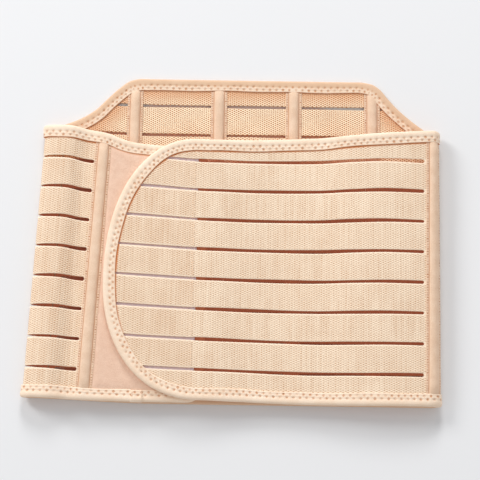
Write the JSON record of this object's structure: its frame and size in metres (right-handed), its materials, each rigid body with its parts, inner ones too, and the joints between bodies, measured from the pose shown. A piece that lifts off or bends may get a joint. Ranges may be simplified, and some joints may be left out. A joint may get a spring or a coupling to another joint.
{
  "type": "abdominal binder",
  "caption": "Elastic abdominal binder lying on its back, wrapped round and fastened by a rounded front flap, with slit panels, stay channels, a taller back and a bound edge.",
  "frame": {"origin": "the middle of the underside, on the surface that the binder lies on", "axes": "+X across the binder from the wing's fold to the flap's fold, +Y up the binder from its bottom edge to its taller back, +Z from the back panel up through the front"},
  "size_m": [0.3596, 0.2884, 0.0223],
  "materials": {
    "elastic": "woven elastic, matte",
    "fleece": "brushed loop fleece",
    "hook_tape": "hook tape, slightly shiny",
    "binding": "soft folded tape, matte",
    "channel_tape": "plain tape, matte"
  },
  "bodies": {
    "root": {"back_panel": "elastic", "left_panel": "elastic", "right_panel": "elastic", "loop_panel": "fleece", "hook_panel": "hook_tape", "edge_binding": "binding", "left_channel": "channel_tape", "right_channel": "channel_tape", "back_channel_1": "channel_tape", "back_channel_2": "channel_tape", "back_channel_3": "channel_tape", "back_channel_4": "channel_tape"}
  },
  "joints": []
}
